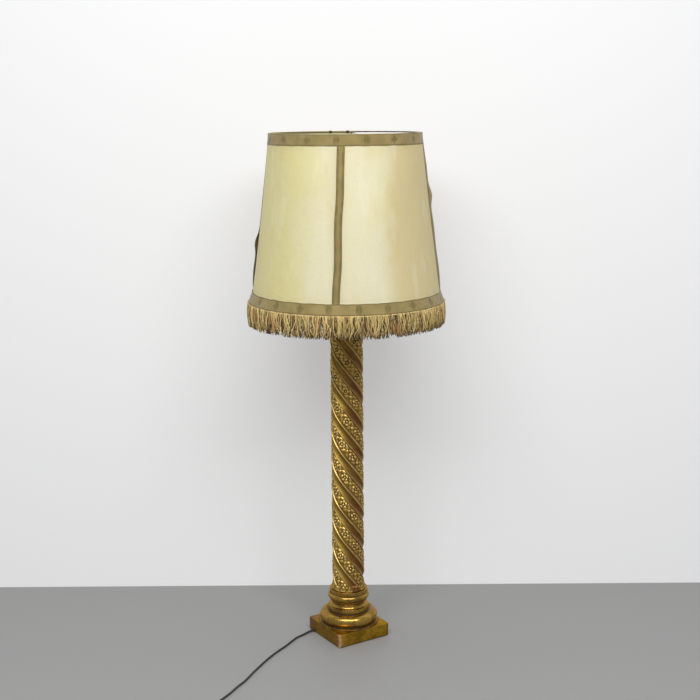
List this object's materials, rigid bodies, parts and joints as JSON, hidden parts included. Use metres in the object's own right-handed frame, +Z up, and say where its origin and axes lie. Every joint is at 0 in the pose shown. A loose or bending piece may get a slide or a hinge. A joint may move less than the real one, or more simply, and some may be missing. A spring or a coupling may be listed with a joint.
{
  "type": "candlestick floor lamp",
  "caption": "Floor lamp with a carved, gilded spiral column on a turned base and square plinth, and a fringed parchment drum shade.",
  "frame": {"origin": "on the floor, under the middle of the square plinth", "axes": "+Z up along the column; the plinth's faces lie across X and Y, and the cord leaves by the -X face"},
  "size_m": [0.9008, 0.6635, 1.5],
  "materials": {
    "felt": "matte felt",
    "gilt_plinth": "burnished gilding over red bole, rubbed at the corners",
    "gilt_turning": "burnished gilding over red bole",
    "gilt_carving": "aged gilding over red bole, rubbed through in the flutes",
    "brass": "satin",
    "zinc_steel": "zinc plated",
    "bakelite": "polished moulding",
    "porcelain": "glazed",
    "core_sheath": "matte",
    "cord_sheath": "satin",
    "soft_black": "matte",
    "plug_black": "satin moulding",
    "pin_metal": "nickel plated",
    "opal_glass": "opal",
    "frame_wire": "worn lacquer",
    "parchment": "mottled translucent parchment",
    "braid": "woven braid with small diamond motifs",
    "fringe_yarn": "twisted yarn"
  },
  "bodies": {
    "stand": {"felt_pads": "felt", "plinth": "gilt_plinth", "base_turning": "gilt_turning", "column_shaft": "gilt_carving", "capital": "gilt_turning", "cap_disc": "brass", "threaded_tube": "zinc_steel", "bottom_washer": "zinc_steel", "bottom_nut": "zinc_steel", "top_nut": "brass", "holder_cap": "bakelite", "holder_shell": "bakelite", "holder_insert": "porcelain", "screw_sleeve": "brass", "centre_contact": "brass", "terminal_screws": "zinc_steel", "cord_cores": "core_sheath", "inner_cord": "cord_sheath", "cord_bush": "soft_black", "cord": "cord_sheath", "cord_coil": "cord_sheath", "cord_tail": "cord_sheath", "cord_tie": "soft_black", "plug_relief": "soft_black", "plug_body": "plug_black", "plug_pins": "pin_metal"},
    "switch": {"switch_key": "bakelite", "switch_spindle": "brass"},
    "bulb": {"bulb_contact": "zinc_steel", "bulb_insulator": "bakelite", "bulb_cap": "zinc_steel", "bulb_glass": "opal_glass"},
    "ring_nut": {"shade_ring_nut": "bakelite"},
    "shade": {"centre_ring": "frame_wire", "spider_arms": "frame_wire", "bottom_ring": "frame_wire", "top_ring": "frame_wire", "upright_wires": "frame_wire", "cover_panel_front_left": "parchment", "cover_panel_front_right": "parchment", "cover_panel_back_right": "parchment", "cover_panel_back_left": "parchment", "top_band": "braid", "bottom_band": "braid", "seam_braid_front": "braid", "seam_braid_right": "braid", "seam_braid_back": "braid", "seam_braid_left": "braid", "fringe": "fringe_yarn"}
  },
  "joints": [
    {"name": "shade_swivel", "type": "hinge", "parent": "stand", "child": "shade", "pos_m": [0, 0, 1.0299], "axis": [0, 0, 1], "continuous": true},
    {"name": "ring_nut_turn", "type": "hinge", "parent": "stand", "child": "ring_nut", "pos_m": [0, 0, 1.036], "axis": [0, 0, 1], "range_deg": [0, 1080]},
    {"name": "bulb_turn", "type": "hinge", "parent": "stand", "child": "bulb", "pos_m": [0, 0, 1.045], "axis": [0, 0, 1], "range_deg": [0, 1080]},
    {"name": "switch_turn", "type": "hinge", "parent": "stand", "child": "switch", "pos_m": [0.02, 0, 1.0178], "axis": [1, 0, 0], "continuous": true}
  ]
}
